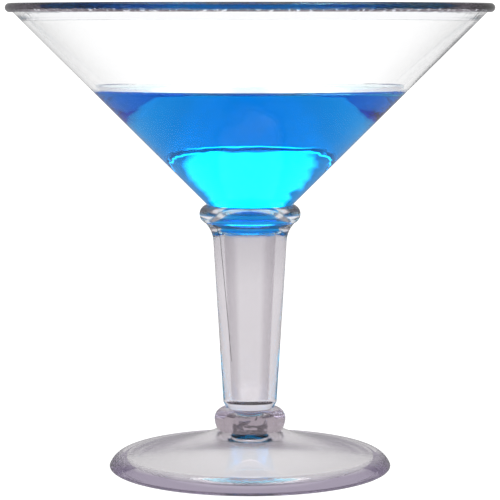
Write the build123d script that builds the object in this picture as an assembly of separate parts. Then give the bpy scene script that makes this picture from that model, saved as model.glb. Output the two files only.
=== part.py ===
"""Short-stemmed martini glass of moulded clear plastic.

Millimetres, +Z up, origin on the table under the centre of the foot.
Every piece is a solid of revolution about Z, drawn as a half section in the XZ plane.
"""

import os

from build123d import *

# Bowl: a 45 degree cone with a thick rolled lip and a short well at its foot
RIM_RADIUS = 60.0
RIM_CENTRE_Z = 115.1
BEAD_RADIUS = 1.1
LIP_MIDDLE = (56.75, 115.0)
LIP_END_Z = 112.9
CONE_APEX_Z = 55.9
BOWL_WALL = 1.2
BOWL_FLOOR_Z = 60.7
WELL_RADIUS = 5.5
WELL_ROUND = 1.2
PLUG_RADIUS = 6.3
PLUG_BOTTOM_Z = 59.8
PLUG_ROUND = 0.5

# Cement films
CEMENT_GAP = 0.2

# Upper collar: a rounded ring between the bowl and the stem
UPPER_COLLAR_BOTTOM_Z = 62.1
UPPER_COLLAR_MIDDLE_Z = 64.2
UPPER_COLLAR_SHOULDER_Z = 66.3
UPPER_COLLAR_RADIUS = 12.55
UPPER_COLLAR_END_RADIUS = 11.3
UPPER_COLLAR_TOP_Z = 66.5

# Stem: a tapered tube, open at the top and closed at the bottom
STEM_FLARE_RADIUS = 11.2
STEM_FLARE_MIDDLE = (9.95, 60.4)
STEM_TAPER_TOP = (9.1, 56.8)
STEM_TAPER_BOTTOM = (6.65, 17.0)
STEM_END_RADIUS = 5.8
STEM_END_Z = 15.6
BORE_TOP_RADIUS = 6.5
BORE_BOTTOM_RADIUS = 4.5
BORE_BOTTOM_Z = 17.2
BORE_ROUND = 1.0

# Lower collar: a rounded ring between the stem and the foot
LOWER_COLLAR_RADIUS = 8.88
LOWER_COLLAR_MIDDLE_Z = 13.1
LOWER_COLLAR_TOP_RADIUS = 6.2
LOWER_COLLAR_SHOULDER = (8.08, 14.8)
LOWER_COLLAR_WAIST = (8.68, 11.5)

# Foot: a thin coved shell with a thick rounded edge, a hollow underside and a peg on top
FOOT_RADIUS = 35.2
FOOT_EDGE_Z = 1.2
FOOT_REST_OUTER_RADIUS = 32.6
FOOT_REST_INNER_RADIUS = 31.2
FOOT_HUB_RADIUS = 8.15
FOOT_HUB_Z = 10.1
FOOT_COVE_MIDDLE = (20.0, 6.0)
FOOT_COVE_END = (31.0, 4.35)
FOOT_EDGE_SHOULDER = (33.8, 3.2)
HOLLOW_START = (30.6, 1.2)
HOLLOW_MIDDLE = (20.0, 3.6)
HOLLOW_END = (8.5, 7.0)
PEG_RADIUS = 4.2

AXIS_RADIUS = 0.0


def revolved(half_section):
    """Solid made by turning a closed XZ half section about the Z axis."""
    return revolve(half_section, axis=Axis.Z)


def section(edges):
    """Face in the XZ plane inside a closed chain of edges."""
    return make_face(Plane.XZ * edges)


def cone_radius(z):
    """Outer radius of the bowl's cone at height z."""
    return z - CONE_APEX_Z


def cone_height(radius):
    """Height at which the bowl's cone has a given outer radius."""
    return radius + CONE_APEX_Z


def inner_cone_radius(z):
    """Inner radius of the bowl's wall at height z."""
    return cone_radius(z) - BOWL_WALL * 2**0.5


def inner_cone_height(radius):
    """Height at which the bowl's wall has a given inner radius."""
    return cone_height(radius) + BOWL_WALL * 2**0.5


def lip_edges():
    """Rolled lip, from the outer cone round the bead and back to the inner cone."""
    bead_x = RIM_RADIUS - BEAD_RADIUS
    line_z = (RIM_CENTRE_Z + cone_height(bead_x)) / 2
    offset = (RIM_CENTRE_Z - cone_height(bead_x)) / 2
    half_chord = (BEAD_RADIUS**2 / 2 - offset**2) ** 0.5
    bead_start_z = line_z - half_chord
    bead_start = (cone_radius(bead_start_z), bead_start_z)
    bead_top = (bead_x, RIM_CENTRE_Z + BEAD_RADIUS)
    bead = ThreePointArc(bead_start, (RIM_RADIUS, RIM_CENTRE_Z), bead_top)
    lip_end = (inner_cone_radius(LIP_END_Z), LIP_END_Z)
    lip = ThreePointArc(bead_top, LIP_MIDDLE, lip_end)
    return bead_start, lip_end, bead + lip


def make_bowl():
    """Conical shell with a beaded lip above and a short straight well at its foot."""
    bead_start, lip_end, lip = lip_edges()
    well_side = Polyline(
        lip_end,
        (WELL_RADIUS, inner_cone_height(WELL_RADIUS)),
        (WELL_RADIUS, BOWL_FLOOR_Z + WELL_ROUND),
    )
    well_corner = EllipticalCenterArc(
        (WELL_RADIUS - WELL_ROUND, BOWL_FLOOR_Z + WELL_ROUND),
        WELL_ROUND,
        WELL_ROUND,
        start_angle=-90,
        arc_size=90,
    )
    outside = Polyline(
        (WELL_RADIUS - WELL_ROUND, BOWL_FLOOR_Z),
        (AXIS_RADIUS, BOWL_FLOOR_Z),
        (AXIS_RADIUS, PLUG_BOTTOM_Z),
        (PLUG_RADIUS - PLUG_ROUND, PLUG_BOTTOM_Z),
        (PLUG_RADIUS, PLUG_BOTTOM_Z + PLUG_ROUND),
        (PLUG_RADIUS, cone_height(PLUG_RADIUS)),
        bead_start,
    )
    return revolved(section(lip + well_side + well_corner + outside))


def make_bowl_cement():
    """Film round the outside of the bowl's well and up the seat of its cone."""
    outer_radius = PLUG_RADIUS + CEMENT_GAP
    plug_top_z = cone_height(PLUG_RADIUS)
    seat_top_z = UPPER_COLLAR_TOP_Z - CEMENT_GAP
    outline = Polyline(
        (PLUG_RADIUS, PLUG_BOTTOM_Z + PLUG_ROUND),
        (outer_radius, PLUG_BOTTOM_Z + PLUG_ROUND),
        (outer_radius, plug_top_z),
        (cone_radius(seat_top_z) + CEMENT_GAP, seat_top_z),
        (cone_radius(seat_top_z), seat_top_z),
        (PLUG_RADIUS, plug_top_z),
        close=True,
    )
    return revolved(section(outline))


def make_upper_collar():
    """Ring with a rounded outside and a conical seat for the bowl."""
    bore_radius = PLUG_RADIUS + CEMENT_GAP
    seat_bottom_z = cone_height(PLUG_RADIUS)
    shoulder = (UPPER_COLLAR_END_RADIUS, UPPER_COLLAR_SHOULDER_Z)
    bottom_corner = (UPPER_COLLAR_END_RADIUS, UPPER_COLLAR_BOTTOM_Z)
    outside = ThreePointArc(bottom_corner, (UPPER_COLLAR_RADIUS, UPPER_COLLAR_MIDDLE_Z), shoulder)
    inside = Polyline(
        shoulder,
        (cone_radius(UPPER_COLLAR_TOP_Z) + CEMENT_GAP, UPPER_COLLAR_TOP_Z),
        (bore_radius, seat_bottom_z),
        (bore_radius, UPPER_COLLAR_BOTTOM_Z),
        bottom_corner,
    )
    return revolved(section(outside + inside))


def make_stem():
    """Tapered tube, flared at its open top and closed at its lower end."""
    flare_corner = (STEM_FLARE_RADIUS, UPPER_COLLAR_BOTTOM_Z)
    flare = ThreePointArc(flare_corner, STEM_FLARE_MIDDLE, STEM_TAPER_TOP)
    rest = Polyline(
        STEM_TAPER_TOP,
        STEM_TAPER_BOTTOM,
        (STEM_END_RADIUS, STEM_END_Z),
        (AXIS_RADIUS, STEM_END_Z),
        (AXIS_RADIUS, BORE_BOTTOM_Z),
        (BORE_BOTTOM_RADIUS - BORE_ROUND, BORE_BOTTOM_Z),
        (BORE_BOTTOM_RADIUS, BORE_BOTTOM_Z + BORE_ROUND),
        (BORE_TOP_RADIUS, PLUG_BOTTOM_Z),
        (BORE_TOP_RADIUS, UPPER_COLLAR_BOTTOM_Z),
        flare_corner,
    )
    return revolved(section(flare + rest))


def make_lower_collar():
    """Ring with a rounded shoulder and a slight waist above the foot."""
    bore_radius = PEG_RADIUS + CEMENT_GAP
    top_corner = (LOWER_COLLAR_TOP_RADIUS, STEM_END_Z)
    widest = (LOWER_COLLAR_RADIUS, LOWER_COLLAR_MIDDLE_Z)
    hub_corner = (FOOT_HUB_RADIUS, FOOT_HUB_Z)
    shoulder = ThreePointArc(top_corner, LOWER_COLLAR_SHOULDER, widest)
    waist = ThreePointArc(widest, LOWER_COLLAR_WAIST, hub_corner)
    inside = Polyline(
        hub_corner,
        (bore_radius, FOOT_HUB_Z),
        (bore_radius, STEM_END_Z),
        top_corner,
    )
    return revolved(section(shoulder + waist + inside))


def make_foot_cement():
    """Cap-shaped film over the foot's peg."""
    outer_radius = PEG_RADIUS + CEMENT_GAP
    peg_top_z = STEM_END_Z - CEMENT_GAP
    outline = Polyline(
        (AXIS_RADIUS, STEM_END_Z),
        (outer_radius, STEM_END_Z),
        (outer_radius, FOOT_HUB_Z),
        (PEG_RADIUS, FOOT_HUB_Z),
        (PEG_RADIUS, peg_top_z),
        (AXIS_RADIUS, peg_top_z),
        close=True,
    )
    return revolved(section(outline))


def make_foot():
    """Thin coved shell with a thick rounded edge and a peg on top of its hub."""
    hub_corner = (FOOT_HUB_RADIUS, FOOT_HUB_Z)
    edge = (FOOT_RADIUS, FOOT_EDGE_Z)
    rest_outer = (FOOT_REST_OUTER_RADIUS, 0)
    rest_inner = (FOOT_REST_INNER_RADIUS, 0)
    peg_top_z = STEM_END_Z - CEMENT_GAP
    outside = Polyline(
        (AXIS_RADIUS, peg_top_z),
        (PEG_RADIUS, peg_top_z),
        (PEG_RADIUS, FOOT_HUB_Z),
        hub_corner,
    )
    outside += ThreePointArc(hub_corner, FOOT_COVE_MIDDLE, FOOT_COVE_END)
    outside += ThreePointArc(FOOT_COVE_END, FOOT_EDGE_SHOULDER, edge)
    outside += EllipticalCenterArc(
        (FOOT_REST_OUTER_RADIUS, FOOT_EDGE_Z),
        FOOT_RADIUS - FOOT_REST_OUTER_RADIUS,
        FOOT_EDGE_Z,
        start_angle=-90,
        arc_size=90,
    )
    underside = Polyline(rest_outer, rest_inner, HOLLOW_START)
    underside += ThreePointArc(HOLLOW_START, HOLLOW_MIDDLE, HOLLOW_END)
    middle = Polyline(HOLLOW_END, (AXIS_RADIUS, HOLLOW_END[1]), (AXIS_RADIUS, peg_top_z))
    return revolved(section(outside + underside + middle))


PIECES = {
    "bowl": make_bowl,
    "upper_collar": make_upper_collar,
    "bowl_cement": make_bowl_cement,
    "stem": make_stem,
    "lower_collar": make_lower_collar,
    "foot_cement": make_foot_cement,
    "foot": make_foot,
}

os.makedirs("parts", exist_ok=True)
for name, make in PIECES.items():
    export_step(make(), f"parts/{name}.step")
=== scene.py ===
"""Looks for the short-stemmed martini glass: clear plastic, a blue drink, a pale studio.

Lengths are metres in the part's own frame, +Z up, with the foot on z = 0.
"""

from math import atan2, cos, hypot, pi, radians, sin, sqrt

import bpy
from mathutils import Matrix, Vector, noise


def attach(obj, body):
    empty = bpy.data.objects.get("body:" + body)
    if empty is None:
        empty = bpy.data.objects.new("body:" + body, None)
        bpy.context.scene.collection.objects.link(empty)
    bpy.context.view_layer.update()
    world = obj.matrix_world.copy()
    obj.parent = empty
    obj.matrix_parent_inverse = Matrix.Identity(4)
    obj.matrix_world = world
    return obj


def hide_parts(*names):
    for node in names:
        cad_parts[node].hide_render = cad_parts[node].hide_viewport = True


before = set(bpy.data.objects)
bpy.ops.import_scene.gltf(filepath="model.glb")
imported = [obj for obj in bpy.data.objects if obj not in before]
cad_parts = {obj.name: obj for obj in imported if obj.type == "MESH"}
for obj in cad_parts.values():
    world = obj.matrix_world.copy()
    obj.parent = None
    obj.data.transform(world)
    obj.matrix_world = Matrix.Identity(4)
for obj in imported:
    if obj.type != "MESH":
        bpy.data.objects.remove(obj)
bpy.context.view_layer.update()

MM = 0.001


def mm(*values):
    """Lengths given in millimetres."""
    return tuple(value * MM for value in values)


# Camera: a little below the rim, looking slightly down. Its lens and sensor are in millimetres.
CAMERA_DISTANCE = 555 * MM
CAMERA_HEIGHT = 113 * MM
CAMERA_TILT = radians(5.95)
CAMERA_LENS = 161.5
SENSOR_WIDTH = 36
CAMERA_CLIP_START = 10 * MM

# Bowl
RIM_RADIUS = 60.0 * MM
RIM_CENTRE_Z = 115.1 * MM
BEAD_RADIUS = 1.1 * MM
LIP_MIDDLE = mm(56.75, 115.0)
LIP_END_Z = 112.9 * MM
CONE_APEX_Z = 55.9 * MM
BOWL_WALL = 1.2 * MM
BOWL_FLOOR_Z = 60.7 * MM
WELL_RADIUS = 5.5 * MM
WELL_ROUND = 1.2 * MM
PLUG_RADIUS = 6.3 * MM
PLUG_BOTTOM_Z = 59.8 * MM
PLUG_CHAMFER = 0.5 * MM
PLUG_SIDE_Z = PLUG_BOTTOM_Z + PLUG_CHAMFER
PLUG_TOP_Z = PLUG_RADIUS + CONE_APEX_Z
CEMENT_GAP = 0.2 * MM

# Drink
DRINK_LEVEL_Z = 95.2 * MM
DRINK_INTO_WALL = 0.1 * MM
MENISCUS_HEIGHT = 0.6 * MM
MENISCUS_WIDTH = 3.2 * MM
MENISCUS_CORNER_SHARE = 0.45

# Collars and stem
UPPER_COLLAR_BOTTOM_Z = 62.1 * MM
UPPER_COLLAR_MIDDLE_Z = 64.2 * MM
UPPER_COLLAR_SHOULDER_Z = 66.3 * MM
UPPER_COLLAR_TOP_Z = 66.5 * MM
UPPER_COLLAR_RADIUS = 12.55 * MM
UPPER_COLLAR_END_RADIUS = 11.3 * MM
STEM_FLARE_RADIUS = 11.2 * MM
STEM_FLARE_MIDDLE = mm(9.95, 60.4)
STEM_TAPER_TOP = mm(9.1, 56.8)
STEM_TAPER_BOTTOM = mm(6.65, 17.0)
STEM_END_RADIUS = 5.8 * MM
STEM_END_Z = 15.6 * MM
BORE_TOP_RADIUS = 6.5 * MM
BORE_BOTTOM_RADIUS = 4.5 * MM
BORE_BOTTOM_Z = 17.2 * MM
BORE_ROUND = 1.0 * MM
LOWER_COLLAR_TOP_RADIUS = 6.2 * MM
LOWER_COLLAR_SHOULDER = mm(8.08, 14.8)
LOWER_COLLAR_WIDEST = mm(8.88, 13.1)
LOWER_COLLAR_WAIST = mm(8.68, 11.5)
PEG_RADIUS = 4.2 * MM
PEG_TOP_Z = STEM_END_Z - CEMENT_GAP
BOND_UNEVENNESS = 0.08 * MM
BOND_RINGS = 60
BOND_NOISE_RADIUS = 4
BOND_LUMP_HEIGHT = 1.2 * MM

# Foot
FOOT_RADIUS = 35.2 * MM
FOOT_EDGE_Z = 1.2 * MM
FOOT_REST_OUTER_RADIUS = 32.6 * MM
FOOT_REST_INNER_RADIUS = 31.2 * MM
FOOT_HUB_RADIUS = 8.15 * MM
FOOT_HUB_Z = 10.1 * MM
FOOT_COVE_MIDDLE = mm(20.0, 6.0)
FOOT_COVE_END = mm(31.0, 4.35)
FOOT_EDGE_SHOULDER = mm(33.8, 3.2)
HOLLOW_START = mm(30.6, 1.2)
HOLLOW_MIDDLE = mm(20.0, 3.6)
HOLLOW_END = mm(8.5, 7.0)

# Meshes. Smooth shading stops at a crease ring, and joined faces lie a hair apart.
CREASE_WIDTH = 0.25 * MM
WELD_CLEARANCE = 0.004 * MM
TURN_STEPS = 192
CURVE_STEPS = 12
COLLAR_STEPS = 16
ROUND_STEPS = 24
LONG_CURVE_STEPS = 32
SHARP_ANGLE = radians(35)
SAME_POINT = 1e-7

# Material slots: a piece's main finish, its joints with other pieces, then its special parts
SKIN = 0
WELD = 1
BOWL_WETTED = 2
BOWL_BACKED = 3
BOWL_DEEP = 4
BOWL_LIP = 5
BOWL_BEAD = 6
STEM_OUTER = 2
STEM_FROSTED = 3
STEM_BORE = 4
# Joints between real pieces, dimmed as painted shade
PAINTED_SHADE_JOINT = 2
COLLAR_BORE = 3
FOOT_SATIN = 2

# Refraction
PLASTIC_IOR = 1.5
DRINK_IOR = 1.35
WETTED_IOR = PLASTIC_IOR / DRINK_IOR
NO_BENDING_IOR = 1.0001

# Tints, and the shares of light that the joints dimmed with painted shade let through
CLEAR_TINT = (0.99, 0.992, 0.995)
LILAC_TINT = (0.755, 0.735, 0.754)
LIP_TINT = (0.72, 0.73, 0.76)
# Painted shade on the rim bead: dark all over, darker still where it turns away
BEAD_PAINTED_SHADE = (0.18, 0.20, 0.23)
BEAD_END_PAINTED_SHADE = (0.045, 0.033, 0.045)
# Painted glints speckled over the bead's underside
PAINTED_GLINT_TINT = (0.62, 0.60, 0.66)
WELL_TINT = (0.02, 0.48, 0.93)
# Painted reflection: the outer wall's gloss is tinted dark blue where the drink stands behind it
PAINTED_BLUE_REFLECTION = (0.0, 0.1, 0.3)
# Stem: lilac plastic, greyed further as painted shade
STEM_TINT_AND_PAINTED_SHADE = (0.60, 0.57, 0.60)
# Painted shade that darkens the stem towards the flare, under the collar
FLARE_SHADE = (0.84, 0.84, 0.85)
HAIRLINE_TINT = (0.03, 0.03, 0.03)
# Painted shade: grey on the frosted bore floor, which dims the light coming down the stem
FROST_PAINTED_SHADE = (0.22, 0.21, 0.225)
# Painted shade on the bore wall where it turns away
BORE_EDGE_PAINTED_SHADE = (0.66, 0.64, 0.66)
KNOP_TINT = (0.33, 0.285, 0.32)
BOND_TINT = (0.30, 0.29, 0.31)
SILVER_TINT = (0.95, 0.95, 0.96)
# Foot: lilac plastic, greyed further as painted shade
FOOT_TINT_AND_PAINTED_SHADE = (0.66, 0.64, 0.66)
EDGE_TINT = (0.16, 0.13, 0.20)
# Painted shade: the shares of light that the dimmed joints let through
DEEP_PAINTED_SHADE_SHARE = (0.12, 0.11, 0.12)
HALF_PAINTED_SHADE_SHARE = (0.5, 0.48, 0.5)
DRINK_COLOUR = (0.0, 0.82, 0.947, 1)
DRINK_DENSITY = 160.0
WHITE = (1, 1, 1)

# Surface detail: noise scales are in lumps per metre
MOTTLE_SHARE = 0.02
WAVE_SCALE = 70
WAVE_HEIGHT = 0.01 * MM
WETTED_WAVE_HEIGHT = 0.45 * MM
BACKED_WAVE_HEIGHT = 0.25 * MM
LIP_LUMP_SCALE = 520
LIP_LUMP_HEIGHT = 0.06 * MM
BEAD_LUMP_SCALE = 1100
BEAD_LUMP_HEIGHT = 0.03 * MM
# How far the bead turns away before its painted shade is darkest
BEAD_PAINTED_SHADE_FACING = (0.0, 0.3)
# Where the painted glints on the bead's underside begin and reach full strength, and the noise that
# scatters them
PAINTED_GLINT_TOP_Z = RIM_CENTRE_Z - 0.1 * MM
PAINTED_GLINT_FULL_Z = RIM_CENTRE_Z - 0.7 * MM
PAINTED_GLINT_NOISE = (0.52, 0.66)
BORE_PAINTED_SHADE_FACING = (0.10, 0.24)
COLLAR_ROUGHNESS = 0.12
UNDERSIDE_ROUGHNESS = 0.14
FROST_ROUGHNESS = 0.6
# Heights over which the stem's painted shade deepens towards the flare
FLARE_SHADE_Z = mm(46, 56)
HAIRLINE_Z = mm(28, 57)
HAIRLINE_ANGLES = (radians(-128.5), radians(-142))
HAIRLINE_HALF_ANGLE = 0.013
EDGE_TINT_RADII = mm(31.5, 34.0)
STREAK_SCALE = (220, 220, 900)
STREAK_DETAIL = 3.0
STREAK_DISTORTION = 1.6
SILVER_STREAK_NOISE = (0.47, 0.55)
SWELL_SCALE = 300
SWELL_DETAIL = 1.0
SWELL_NOISE = (0.3, 0.7)
SILVER_RING_Z = 12.9 * MM
SILVER_RING_SWAY = 0.3 * MM
SILVER_RING_HALF_HEIGHT = 0.3 * MM
BOND_LUMP_SCALE = 900
BOND_BUMP_HEIGHT = 0.12 * MM
DRINK_TOP_BAND = (DRINK_LEVEL_Z - 0.03 * MM, DRINK_LEVEL_Z - 0.01 * MM)

# Studio: levels of light by elevation in degrees, and how much of them a mirror shows
LIGHT_STRENGTH = 8.0
WORLD_LEVELS = [
    (0, 0.15), (12, 0.15), (20, 0.13), (50, 0.13), (60, 1.0), (80, 1.0), (85, 0.15), (90, 0.15)
]
REFLECTED_SHARE = 0.25
FLOOR_LEVEL = 1.2
FLOOR_HALF_SIZE = 4.0
FLOOR_DROP = 0.05 * MM
MAX_BOUNCES = 96
GLOSSY_BOUNCES = 64
TRANSPARENT_BOUNCES = 32


def arc(start, middle, end, steps=CURVE_STEPS):
    """Points of the circle through three profile points, both ends included."""
    (x1, y1), (x2, y2), (x3, y3) = start, middle, end
    across = 2 * (x1 * (y2 - y3) + x2 * (y3 - y1) + x3 * (y1 - y2))
    s1, s2, s3 = x1 * x1 + y1 * y1, x2 * x2 + y2 * y2, x3 * x3 + y3 * y3
    centre_x = (s1 * (y2 - y3) + s2 * (y3 - y1) + s3 * (y1 - y2)) / across
    centre_y = (s1 * (x3 - x2) + s2 * (x1 - x3) + s3 * (x2 - x1)) / across
    radius = hypot(x1 - centre_x, y1 - centre_y)
    first = atan2(y1 - centre_y, x1 - centre_x)
    turn = (atan2(y3 - centre_y, x3 - centre_x) - first) % (2 * pi)
    half = (atan2(y2 - centre_y, x2 - centre_x) - first) % (2 * pi)
    if half > turn:
        turn -= 2 * pi
    angles = [first + turn * i / steps for i in range(steps + 1)]
    return [(centre_x + radius * cos(a), centre_y + radius * sin(a)) for a in angles]


def quarter(corner, start, end):
    """Quarter ellipse from start to end that bulges towards corner."""
    angles = [pi / 2 * i / CURVE_STEPS for i in range(CURVE_STEPS + 1)]
    cx, cy = start[0] + end[0] - corner[0], start[1] + end[1] - corner[1]
    return [
        (
            cx + (start[0] - cx) * cos(a) + (end[0] - cx) * sin(a),
            cy + (start[1] - cy) * cos(a) + (end[1] - cy) * sin(a),
        )
        for a in angles
    ]


def cone_radius(z):
    """Outer radius of the bowl's cone at height z."""
    return z - CONE_APEX_Z


def cone_height(radius):
    """Height at which the bowl's cone has a given outer radius."""
    return radius + CONE_APEX_Z


def on_cone(z):
    """Profile point on the outside of the bowl's cone."""
    return (cone_radius(z), z)


def on_inner_cone(z):
    """Profile point on the inside of the bowl's wall."""
    return (cone_radius(z) - BOWL_WALL * sqrt(2), z)


def joined(stretches):
    """One profile from stretches of (slot, points), and the slot of each of its segments."""
    profile = []
    slots = []
    for slot, points in stretches:
        for point in points:
            if profile:
                last = profile[-1]
                if hypot(point[0] - last[0], point[1] - last[1]) < SAME_POINT:
                    continue
                slots.append(slot)
            profile.append(point)
    return profile, slots


def turned(profile, ripple):
    """Vertices of a profile turned about Z, and the ring of vertices that each point makes."""
    verts = []
    rings = []
    for point in profile:
        if point[0] < SAME_POINT:
            rings.append([len(verts)] * TURN_STEPS)
            verts.append((0.0, 0.0, point[1]))
            continue
        rings.append(list(range(len(verts), len(verts) + TURN_STEPS)))
        for i in range(TURN_STEPS):
            angle = 2 * pi * i / TURN_STEPS
            r, z = ripple(point, angle) if ripple else point
            verts.append((r * cos(angle), r * sin(angle), z))
    return verts, rings


def lathe(name, stretches, ripple=None):
    """Closed mesh turned about Z. Each stretch is (slot, profile points), joined end to end.

    ripple(point, angle) may move a profile point a little at each angle.
    """
    profile, slots = joined(stretches)
    verts, rings = turned(profile, ripple)
    faces = []
    face_slots = []
    for below, above, slot in zip(rings, rings[1:], slots):
        for i in range(TURN_STEPS):
            j = (i + 1) % TURN_STEPS
            corners = [below[i], below[j], above[j], above[i]]
            face = [c for n, c in enumerate(corners) if c not in corners[:n]]
            if len(face) > 2:
                faces.append(face)
                face_slots.append(slot)
    mesh = bpy.data.meshes.new(name)
    mesh.from_pydata(verts, [], faces)
    mesh.polygons.foreach_set("material_index", face_slots)
    mesh.validate()
    mesh.shade_smooth()
    mesh.set_sharp_from_angle(angle=SHARP_ANGLE)
    piece = bpy.data.objects.new(name, mesh)
    bpy.context.collection.objects.link(piece)
    return piece


def new_material(name):
    """Empty node material, its tree and its output node."""
    material = bpy.data.materials.new(name)
    material.use_nodes = True
    tree = material.node_tree
    tree.nodes.clear()
    out = tree.nodes.new("ShaderNodeOutputMaterial")
    return material, tree, out


def object_place(tree):
    """Position of the point being shaded, in the object's own frame."""
    return tree.nodes.new("ShaderNodeTexCoord").outputs["Object"]


def object_xyz(tree):
    """X, Y and Z of the point being shaded."""
    split = tree.nodes.new("ShaderNodeSeparateXYZ")
    tree.links.new(object_place(tree), split.inputs[0])
    return split.outputs


def noise_over(tree, place, scale, detail=2.0, distortion=0.0):
    """Strength of a smooth noise at a place."""
    lumps = tree.nodes.new("ShaderNodeTexNoise")
    lumps.inputs["Scale"].default_value = scale
    lumps.inputs["Detail"].default_value = detail
    lumps.inputs["Distortion"].default_value = distortion
    tree.links.new(place, lumps.inputs["Vector"])
    return lumps.outputs["Fac"]


def raise_bumps(tree, shader, strength, height):
    """Bumps of the given height on a shader, wherever strength is high."""
    bump = tree.nodes.new("ShaderNodeBump")
    bump.inputs["Distance"].default_value = height
    tree.links.new(strength, bump.inputs["Height"])
    tree.links.new(bump.outputs["Normal"], shader.inputs["Normal"])


def blend(tree, share, low, high):
    """Colour that runs from low to high; each end is a colour or another node's output."""
    mix = tree.nodes.new("ShaderNodeMix")
    mix.data_type = "RGBA"
    tree.links.new(share, mix.inputs["Factor"])
    for socket, colour in (("A", low), ("B", high)):
        if isinstance(colour, bpy.types.NodeSocket):
            tree.links.new(colour, mix.inputs[socket])
        else:
            mix.inputs[socket].default_value = (*colour, 1)
    return mix.outputs["Result"]


def span(tree, value, between, to=(0.0, 1.0)):
    """Node output that runs over one pair of levels while a value runs over another."""
    node = tree.nodes.new("ShaderNodeMapRange")
    node.inputs["From Min"].default_value = between[0]
    node.inputs["From Max"].default_value = between[1]
    node.inputs["To Min"].default_value = to[0]
    node.inputs["To Max"].default_value = to[1]
    tree.links.new(value, node.inputs["Value"])
    return node.outputs["Result"]


def maths(tree, operation, *values):
    """Output of a maths node; each value is a number or another node's output."""
    node = tree.nodes.new("ShaderNodeMath")
    node.operation = operation
    for socket, value in zip(node.inputs, values):
        if isinstance(value, bpy.types.NodeSocket):
            tree.links.new(value, socket)
        else:
            socket.default_value = value
    return node.outputs[0]


def turned_away(tree, between):
    """Share that grows from 0 to 1 as the surface turns away from the eye."""
    edge = tree.nodes.new("ShaderNodeLayerWeight")
    return span(tree, edge.outputs["Facing"], between)


def plastic(name, tint, ior=PLASTIC_IOR, gloss=WHITE, roughness=0.0, wave_height=WAVE_HEIGHT):
    """Clear moulded plastic, its tint faintly uneven and its surface gently wavy."""
    material, tree, out = new_material(name)
    shader = tree.nodes.new("ShaderNodeBsdfPrincipled")
    shader.inputs["Roughness"].default_value = roughness
    shader.inputs["IOR"].default_value = ior
    shader.inputs["Specular Tint"].default_value = (*gloss, 1)
    shader.inputs["Transmission Weight"].default_value = 1.0
    waves = noise_over(tree, object_place(tree), WAVE_SCALE)
    if wave_height:
        raise_bumps(tree, shader, waves, wave_height)
    pale = [min(1.0, level * (1 + MOTTLE_SHARE)) for level in tint]
    deep = [level * (1 - MOTTLE_SHARE) for level in tint]
    tree.links.new(blend(tree, waves, deep, pale), shader.inputs["Base Color"])
    tree.links.new(shader.outputs[0], out.inputs["Surface"])
    return material


def main_shader(tree):
    """Principled shader of a plastic."""
    return next(node for node in tree.nodes if node.type == "BSDF_PRINCIPLED")


def tint_so_far(tree):
    """Output that tints a plastic's shader."""
    return main_shader(tree).inputs["Base Color"].links[0].from_socket


def retint(tree, tint):
    """Tint a plastic's shader with another output."""
    tree.links.new(tint, main_shader(tree).inputs["Base Color"])


def stem_material():
    """Outside of the stem: lilac greyed with painted shade, darker towards the flare with more
    painted shade, and one dark hairline down a side.
    """
    material = plastic("lilac_stem_with_painted_shade", STEM_TINT_AND_PAINTED_SHADE)
    tree = material.node_tree
    x, y, z = object_xyz(tree)
    shaded = tree.nodes.new("ShaderNodeVectorMath")
    shaded.operation = "MULTIPLY"
    tree.links.new(tint_so_far(tree), shaded.inputs[0])
    # Painted shade: the stem grows darker towards the flare
    tree.links.new(blend(tree, span(tree, z, FLARE_SHADE_Z), WHITE, FLARE_SHADE), shaded.inputs[1])
    drift = span(tree, z, HAIRLINE_Z, HAIRLINE_ANGLES)
    near = maths(tree, "COMPARE", maths(tree, "ARCTAN2", y, x), drift, HAIRLINE_HALF_ANGLE)
    above = maths(tree, "GREATER_THAN", z, HAIRLINE_Z[0])
    line = maths(tree, "MULTIPLY", near, above)
    retint(tree, blend(tree, line, shaded.outputs[0], HAIRLINE_TINT))
    return material


def bore_material():
    """Wall of the stem's bore: a little darker where it turns away, as painted shade."""
    material = plastic("lilac_plastic_bore", CLEAR_TINT)
    tree = material.node_tree
    edge = turned_away(tree, BORE_PAINTED_SHADE_FACING)
    retint(tree, blend(tree, edge, tint_so_far(tree), BORE_EDGE_PAINTED_SHADE))
    return material


def foot_material():
    """Clear lilac plastic, greyed with painted shade, that deepens to mauve where the edge is
    thick.
    """
    material = plastic("lilac_foot_with_painted_shade", FOOT_TINT_AND_PAINTED_SHADE)
    tree = material.node_tree
    x, y = object_xyz(tree)[:2]
    squares = maths(tree, "ADD", maths(tree, "MULTIPLY", x, x), maths(tree, "MULTIPLY", y, y))
    outwards = span(tree, maths(tree, "SQRT", squares), EDGE_TINT_RADII)
    retint(tree, blend(tree, outwards, tint_so_far(tree), EDGE_TINT))
    return material


def lip_material():
    """Inner side of the lip: lumpy, and a little grey."""
    material = plastic("lumpy_lip", LIP_TINT, wave_height=None)
    tree = material.node_tree
    lumps = noise_over(tree, object_place(tree), LIP_LUMP_SCALE)
    raise_bumps(tree, main_shader(tree), lumps, LIP_LUMP_HEIGHT)
    return material


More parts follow.
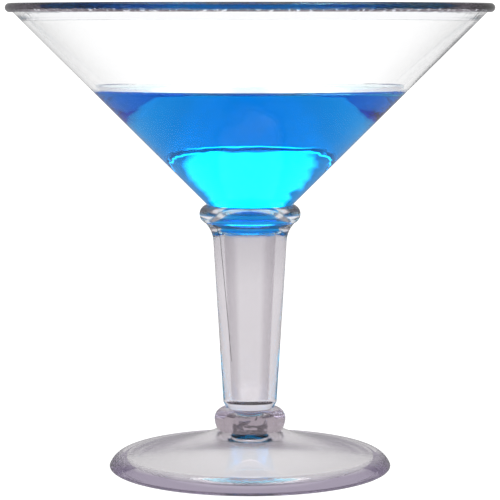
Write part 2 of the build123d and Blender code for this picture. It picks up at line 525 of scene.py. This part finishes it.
def bead_material():
    """Rolled bead with painted shade: dark, darkest where it turns away, and painted glints
    speckled on its underside.
    """
    material = plastic("lumpy_bead_with_painted_shade_and_glints", BEAD_PAINTED_SHADE, wave_height=None)
    tree = material.node_tree
    lumps = noise_over(tree, object_place(tree), BEAD_LUMP_SCALE)
    raise_bumps(tree, main_shader(tree), lumps, BEAD_LUMP_HEIGHT)
    # Painted shade: the bead darkens as it turns away from the eye
    edge = turned_away(tree, BEAD_PAINTED_SHADE_FACING)
    dark = blend(tree, edge, tint_so_far(tree), BEAD_END_PAINTED_SHADE)
    # Painted glints: pale speckles on the lower part of the bead
    low = span(tree, object_xyz(tree)["Z"], (PAINTED_GLINT_TOP_Z, PAINTED_GLINT_FULL_Z))
    speckle = maths(tree, "MULTIPLY", low, span(tree, lumps, PAINTED_GLINT_NOISE))
    retint(tree, blend(tree, speckle, dark, PAINTED_GLINT_TINT))
    return material


def silver_share(tree):
    """Where the cement has pulled away: a wavering ring, and streaks that run round the peg."""
    place = object_place(tree)
    stretch = tree.nodes.new("ShaderNodeMapping")
    stretch.inputs["Scale"].default_value = STREAK_SCALE
    tree.links.new(place, stretch.inputs["Vector"])
    streaks = noise_over(tree, stretch.outputs[0], 1.0, STREAK_DETAIL, STREAK_DISTORTION)
    flecks = span(tree, streaks, SILVER_STREAK_NOISE)
    swell = noise_over(tree, place, SWELL_SCALE, SWELL_DETAIL)
    ring_band = (SILVER_RING_Z - SILVER_RING_SWAY, SILVER_RING_Z + SILVER_RING_SWAY)
    sway = span(tree, swell, SWELL_NOISE, ring_band)
    ring = maths(tree, "COMPARE", object_xyz(tree)["Z"], sway, SILVER_RING_HALF_HEIGHT)
    return maths(tree, "MAXIMUM", ring, flecks)


def bond_material():
    """Uneven cement: grey where it holds and silvery where it has pulled away."""
    material = plastic("uneven_cement", BOND_TINT, wave_height=None)
    tree = material.node_tree
    silver = silver_share(tree)
    retint(tree, blend(tree, silver, tint_so_far(tree), SILVER_TINT))
    tree.links.new(silver, main_shader(tree).inputs["Metallic"])
    lumps = noise_over(tree, object_place(tree), BOND_LUMP_SCALE)
    raise_bumps(tree, main_shader(tree), lumps, BOND_BUMP_HEIGHT)
    return material


def weld_material(name, share):
    """Joint between two clear pieces: a share of the light passes straight on."""
    material, tree, out = new_material(name)
    shader = tree.nodes.new("ShaderNodeBsdfTransparent")
    shader.inputs["Color"].default_value = (*share, 1)
    tree.links.new(shader.outputs[0], out.inputs["Surface"])
    return material


def drink_material():
    """Blue drink that deepens with depth. Only its top bends light, not its sides."""
    material, tree, out = new_material("blue_drink")
    shader = tree.nodes.new("ShaderNodeBsdfPrincipled")
    shader.inputs["Base Color"].default_value = (*WHITE, 1)
    shader.inputs["Roughness"].default_value = 0.0
    shader.inputs["Transmission Weight"].default_value = 1.0
    ior = span(tree, object_xyz(tree)["Z"], DRINK_TOP_BAND, (NO_BENDING_IOR, DRINK_IOR))
    tree.links.new(ior, shader.inputs["IOR"])
    volume = tree.nodes.new("ShaderNodeVolumeAbsorption")
    volume.inputs["Color"].default_value = DRINK_COLOUR
    volume.inputs["Density"].default_value = DRINK_DENSITY
    tree.links.new(shader.outputs[0], out.inputs["Surface"])
    tree.links.new(volume.outputs[0], out.inputs["Volume"])
    return material


def finish_piece(piece, materials, slot, *nodes):
    """Give a piece its materials, its body and the CAD nodes that it replaces. The slot argument is
    not used.
    """
    for material in materials:
        piece.data.materials.append(material)
    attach(piece, "root")
    if nodes:
        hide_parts(*nodes)


def well_points(swell=0):
    """Inner cone's foot, the straight well below it and its rounded floor, swelled a little."""
    side = WELL_RADIUS + swell
    floor = BOWL_FLOOR_Z - swell
    corner = quarter((side, floor), (side, floor + WELL_ROUND), (side - WELL_ROUND, floor))
    cone_foot = (side, cone_height(WELL_RADIUS) + BOWL_WALL * sqrt(2))
    return [cone_foot, *corner, (0, floor)]


def make_bowl():
    """Conical shell with a beaded lip above, and a short well and a plug at its foot.

    The bead is round, and starts where its circle crosses the 45 degree line of the cone.
    """
    bead_x = RIM_RADIUS - BEAD_RADIUS
    line_z = (RIM_CENTRE_Z + cone_height(bead_x)) / 2
    offset = (RIM_CENTRE_Z - cone_height(bead_x)) / 2
    bead_start_z = line_z - sqrt(BEAD_RADIUS**2 / 2 - offset**2)
    bead_top = (bead_x, RIM_CENTRE_Z + BEAD_RADIUS)
    lip = arc(bead_top, LIP_MIDDLE, on_inner_cone(LIP_END_Z))
    bead = arc(on_cone(bead_start_z), (RIM_RADIUS, RIM_CENTRE_Z), bead_top, ROUND_STEPS)
    return lathe(
        "bowl",
        [
            (SKIN, [(0, PLUG_BOTTOM_Z), (PLUG_RADIUS - PLUG_CHAMFER, PLUG_BOTTOM_Z)]),
            (SKIN, [(PLUG_RADIUS, PLUG_SIDE_Z)]),
            (WELD, [(PLUG_RADIUS, PLUG_TOP_Z), on_cone(UPPER_COLLAR_TOP_Z)]),
            (BOWL_BACKED, [on_cone(DRINK_LEVEL_Z)]),
            (SKIN, [on_cone(bead_start_z - CREASE_WIDTH), bead[0]]),
            (BOWL_BEAD, bead),
            (BOWL_LIP, [*lip, on_inner_cone(LIP_END_Z - CREASE_WIDTH)]),
            (SKIN, [on_inner_cone(DRINK_LEVEL_Z + MENISCUS_HEIGHT)]),
            (BOWL_WETTED, [on_inner_cone(UPPER_COLLAR_TOP_Z)]),
            (BOWL_DEEP, well_points()),
        ],
    )


def make_bowl_cement():
    """Film round the bowl's plug and up the seat of its cone."""
    gap = WELD_CLEARANCE
    inner = PLUG_RADIUS + gap
    outer = BORE_TOP_RADIUS - gap
    top = UPPER_COLLAR_TOP_Z
    return lathe(
        "bowl_cement",
        [
            (SKIN, [(inner, PLUG_SIDE_Z), (outer, PLUG_SIDE_Z)]),
            (WELD, [(outer, PLUG_TOP_Z), (cone_radius(top) + CEMENT_GAP - gap, top)]),
            (SKIN, [(cone_radius(top) + gap, top)]),
            (WELD, [(inner, PLUG_TOP_Z), (inner, PLUG_SIDE_Z)]),
        ],
    )


def make_upper_collar():
    """Ring with a rounded outside and a conical seat for the bowl."""
    bore = BORE_TOP_RADIUS
    bottom = UPPER_COLLAR_BOTTOM_Z + WELD_CLEARANCE
    low_corner = (UPPER_COLLAR_END_RADIUS, bottom)
    widest = (UPPER_COLLAR_RADIUS, UPPER_COLLAR_MIDDLE_Z)
    shoulder = (UPPER_COLLAR_END_RADIUS, UPPER_COLLAR_SHOULDER_Z)
    seat_top = (cone_radius(UPPER_COLLAR_TOP_Z) + CEMENT_GAP, UPPER_COLLAR_TOP_Z)
    return lathe(
        "upper_collar",
        [
            (WELD, [(bore, PLUG_TOP_Z), (bore, bottom)]),
            # Joint with the stem, half dimmed as painted shade
            (PAINTED_SHADE_JOINT, [(STEM_FLARE_RADIUS, bottom)]),
            (SKIN, [*arc(low_corner, widest, shoulder, ROUND_STEPS), seat_top]),
            (WELD, [(bore, PLUG_TOP_Z)]),
        ],
    )


def make_stem():
    """Tapered tube, flared at its open top and closed at its lower end."""
    flare = arc((STEM_FLARE_RADIUS, UPPER_COLLAR_BOTTOM_Z), STEM_FLARE_MIDDLE, STEM_TAPER_TOP)
    floor_round = quarter(
        (BORE_BOTTOM_RADIUS, BORE_BOTTOM_Z),
        (BORE_BOTTOM_RADIUS, BORE_BOTTOM_Z + BORE_ROUND),
        (BORE_BOTTOM_RADIUS - BORE_ROUND, BORE_BOTTOM_Z),
    )
    return lathe(
        "stem",
        [
            (WELD, [(0, STEM_END_Z), (STEM_END_RADIUS, STEM_END_Z)]),
            (STEM_OUTER, [STEM_TAPER_BOTTOM, *flare[::-1]]),
            (WELD, [(BORE_TOP_RADIUS, UPPER_COLLAR_BOTTOM_Z), (BORE_TOP_RADIUS, PLUG_SIDE_Z)]),
            (SKIN, [(BORE_TOP_RADIUS, PLUG_BOTTOM_Z)]),
            (STEM_BORE, [floor_round[0]]),
            (SKIN, floor_round),
            (STEM_FROSTED, [(0, BORE_BOTTOM_Z)]),
        ],
    )


def make_lower_collar():
    """Ring with a rounded shoulder and a slight waist above the foot."""
    bore = PEG_RADIUS + CEMENT_GAP
    top = STEM_END_Z - WELD_CLEARANCE
    bottom = FOOT_HUB_Z + WELD_CLEARANCE
    top_corner = (LOWER_COLLAR_TOP_RADIUS, top)
    shoulder = arc(top_corner, LOWER_COLLAR_SHOULDER, LOWER_COLLAR_WIDEST, COLLAR_STEPS)
    hub_corner = (FOOT_HUB_RADIUS, bottom)
    waist = arc(LOWER_COLLAR_WIDEST, LOWER_COLLAR_WAIST, hub_corner, COLLAR_STEPS)
    return lathe(
        "lower_collar",
        [
            (COLLAR_BORE, [(bore, top), (bore, bottom)]),
            (WELD, [hub_corner]),
            (SKIN, [*waist[::-1], *shoulder[::-1], (STEM_END_RADIUS, top)]),
            # Joint with the stem's end, darkened as painted shade
            (PAINTED_SHADE_JOINT, [(bore, top)]),
        ],
    )


def upright(radius, low, high):
    """Closely spaced points up a straight wall, so that it can be made uneven."""
    return [(radius, low + (high - low) * i / BOND_RINGS) for i in range(BOND_RINGS + 1)]


def wavy(point, angle):
    """Uneven bond: the outside of a film lies further in, by a different amount at each place."""
    r, z = point
    if r < PEG_RADIUS + CEMENT_GAP / 2:
        return point
    around = (BOND_NOISE_RADIUS * cos(angle), BOND_NOISE_RADIUS * sin(angle))
    lump = noise.noise(Vector((*around, z / BOND_LUMP_HEIGHT)))
    return r - BOND_UNEVENNESS * (0.5 + 0.5 * lump), z


def make_foot_cement():
    """Cap-shaped film over the foot's peg."""
    gap = WELD_CLEARANCE
    outer = PEG_RADIUS + CEMENT_GAP - gap
    inner = PEG_RADIUS + gap
    peg_top = PEG_TOP_Z + gap
    low = FOOT_HUB_Z + gap
    high = STEM_END_Z - gap
    return lathe(
        "foot_cement",
        [
            (WELD, [(0, peg_top), (inner, peg_top), (inner, low)]),
            (SKIN, upright(outer, low, high)),
            # Cap over the peg, darkened as painted shade
            (PAINTED_SHADE_JOINT, [(0, high)]),
        ],
        wavy,
    )


def make_foot():
    """Thin coved shell with a thick rounded edge and a peg on top of its hub."""
    hub_corner = (FOOT_HUB_RADIUS, FOOT_HUB_Z)
    edge_corner = (FOOT_RADIUS, FOOT_EDGE_Z)
    cove = arc(hub_corner, FOOT_COVE_MIDDLE, FOOT_COVE_END, LONG_CURVE_STEPS)
    edge = arc(FOOT_COVE_END, FOOT_EDGE_SHOULDER, edge_corner, COLLAR_STEPS)
    heel = quarter((FOOT_RADIUS, 0), edge_corner, (FOOT_REST_OUTER_RADIUS, 0))
    hollow = arc(HOLLOW_START, HOLLOW_MIDDLE, HOLLOW_END, LONG_CURVE_STEPS)
    return lathe(
        "foot",
        [
            (FOOT_SATIN, [(0, HOLLOW_END[1]), *hollow[::-1]]),
            (SKIN, [(FOOT_REST_INNER_RADIUS, 0), *heel[::-1], *edge[::-1], *cove[::-1]]),
            (WELD, [(PEG_RADIUS, FOOT_HUB_Z), (PEG_RADIUS, PEG_TOP_Z), (0, PEG_TOP_Z)]),
        ],
    )


def make_drink():
    """What the bowl holds, a hair into the wall, with a meniscus round its edge."""
    lip_z = DRINK_LEVEL_Z + MENISCUS_HEIGHT
    lip = (on_inner_cone(lip_z)[0] + DRINK_INTO_WALL, lip_z)
    flat = (lip[0] - MENISCUS_WIDTH, DRINK_LEVEL_Z)
    corner = (flat[0] + MENISCUS_CORNER_SHARE * MENISCUS_WIDTH, DRINK_LEVEL_Z)
    meniscus = quarter(corner, flat, lip)
    return lathe(
        "drink",
        [
            (SKIN, well_points(DRINK_INTO_WALL)[::-1]),
            (SKIN, [*meniscus[::-1], (0, DRINK_LEVEL_Z)]),
        ],
    )


def reflection_dimmer(tree, bright):
    """Strength of what stands round the glass: weaker where it is only mirrored."""
    path = tree.nodes.new("ShaderNodeLightPath")
    return span(tree, path.outputs["Is Reflection Ray"], (0, 1), (bright, bright * REFLECTED_SHARE))


def make_world():
    """White backdrop all round, with a broad, bright ring of soft light high above."""
    world = bpy.data.worlds.new("studio")
    bpy.context.scene.world = world
    world.use_nodes = True
    tree = world.node_tree
    tree.nodes.clear()
    out = tree.nodes.new("ShaderNodeOutputWorld")
    background = tree.nodes.new("ShaderNodeBackground")
    where = tree.nodes.new("ShaderNodeTexCoord")
    split = tree.nodes.new("ShaderNodeSeparateXYZ")
    ramp = tree.nodes.new("ShaderNodeValToRGB")
    tree.links.new(where.outputs["Generated"], split.inputs[0])
    tree.links.new(split.outputs["Z"], ramp.inputs["Fac"])
    tree.links.new(ramp.outputs["Color"], background.inputs["Color"])
    tree.links.new(reflection_dimmer(tree, LIGHT_STRENGTH), background.inputs["Strength"])
    tree.links.new(background.outputs[0], out.inputs["Surface"])
    stops = ramp.color_ramp.elements
    for elevation, level in WORLD_LEVELS[2:]:
        stops.new(sin(radians(elevation)))
    for stop, (elevation, level) in zip(stops, WORLD_LEVELS):
        stop.position = sin(radians(elevation))
        stop.color = (level, level, level, 1)


def make_floor():
    """Wide light table, just under the foot."""
    far = FLOOR_HALF_SIZE
    corners = [(-far, -far), (far, -far), (far, far), (-far, far)]
    mesh = bpy.data.meshes.new("floor")
    mesh.from_pydata([(x, y, -FLOOR_DROP) for x, y in corners], [], [(0, 1, 2, 3)])
    floor = bpy.data.objects.new("floor", mesh)
    bpy.context.collection.objects.link(floor)
    material, tree, out = new_material("pale_floor")
    shader = tree.nodes.new("ShaderNodeEmission")
    tree.links.new(reflection_dimmer(tree, FLOOR_LEVEL), shader.inputs["Strength"])
    tree.links.new(shader.outputs[0], out.inputs["Surface"])
    mesh.materials.append(material)


def make_camera():
    """Camera in front of the glass."""
    data = bpy.data.cameras.new("camera")
    data.lens = CAMERA_LENS
    data.sensor_width = SENSOR_WIDTH
    data.clip_start = CAMERA_CLIP_START
    camera = bpy.data.objects.new("camera", data)
    camera.location = (0, -CAMERA_DISTANCE, CAMERA_HEIGHT)
    camera.rotation_euler = (pi / 2 - CAMERA_TILT, 0, 0)
    bpy.context.collection.objects.link(camera)
    bpy.context.scene.camera = camera


def dress_bowl(clear, weld):
    """Bowl and the cement under it."""
    wetted = plastic("wetted_plastic", CLEAR_TINT, WETTED_IOR, wave_height=WETTED_WAVE_HEIGHT)
    # The outer wall in front of the drink gets a painted blue reflection in place of a white one
    backed = plastic(
        "painted_blue_reflection_plastic", CLEAR_TINT, gloss=PAINTED_BLUE_REFLECTION, wave_height=BACKED_WAVE_HEIGHT
    )
    well = plastic("blue_backed_well", WELL_TINT, WETTED_IOR)
    finishes = (clear, weld, wetted, backed, well, lip_material(), bead_material())
    finish_piece(make_bowl(), finishes, "clear_plastic", "bowl")
    finish_piece(make_bowl_cement(), (clear, weld), "clear_cement", "bowl_cement")


def dress_stem(clear, weld):
    """Stem, and the collar above it with a joint between them half dimmed as painted shade."""
    lilac = plastic("lilac_plastic", LILAC_TINT, roughness=COLLAR_ROUGHNESS)
    half_painted_shade_joint = weld_material("half_painted_shade_joint", HALF_PAINTED_SHADE_SHARE)
    # The bore's floor is frosted, and greyed as painted shade
    frosted = plastic("frosted_floor_painted_shade", FROST_PAINTED_SHADE, roughness=FROST_ROUGHNESS)
    finishes = (clear, weld, stem_material(), frosted, bore_material())
    finish_piece(make_upper_collar(), (lilac, weld, half_painted_shade_joint), "lilac_plastic", "upper_collar")
    finish_piece(make_stem(), finishes, "lilac_plastic", "stem")


def dress_foot(clear, weld):
    """Foot, and the collar and cement round its peg with a joint on top darkened as painted shade.
    """
    grey_painted_shade_joint = weld_material("grey_painted_shade_joint", DEEP_PAINTED_SHADE_SHARE)
    knop = plastic("lilac_plastic_thick", KNOP_TINT)
    # The underside shares the foot's tint, greyed as painted shade
    satin = plastic("satin_underside", FOOT_TINT_AND_PAINTED_SHADE, roughness=UNDERSIDE_ROUGHNESS)
    collar_finishes = (knop, weld, grey_painted_shade_joint, clear)
    cement_finishes = (bond_material(), weld, grey_painted_shade_joint)
    finish_piece(make_lower_collar(), collar_finishes, "lilac_plastic", "lower_collar")
    finish_piece(make_foot_cement(), cement_finishes, "clear_cement", "foot_cement")
    finish_piece(make_foot(), (foot_material(), weld, satin), "lilac_plastic", "foot")


def prepare(scene):
    """Plain colours, and enough bounces for light that is trapped in the clear walls."""
    scene.view_settings.view_transform = "Standard"
    scene.cycles.max_bounces = MAX_BOUNCES
    scene.cycles.transmission_bounces = MAX_BOUNCES
    scene.cycles.glossy_bounces = GLOSSY_BOUNCES
    scene.cycles.transparent_max_bounces = TRANSPARENT_BOUNCES
    scene.cycles.caustics_refractive = True
    scene.cycles.caustics_reflective = True


make_camera()
make_world()
make_floor()
clear_plastic = plastic("clear_plastic", CLEAR_TINT)
plain_weld = weld_material("weld", WHITE)
dress_bowl(clear_plastic, plain_weld)
dress_stem(clear_plastic, plain_weld)
dress_foot(clear_plastic, plain_weld)
finish_piece(make_drink(), (drink_material(),), "clear_plastic")
prepare(bpy.context.scene)
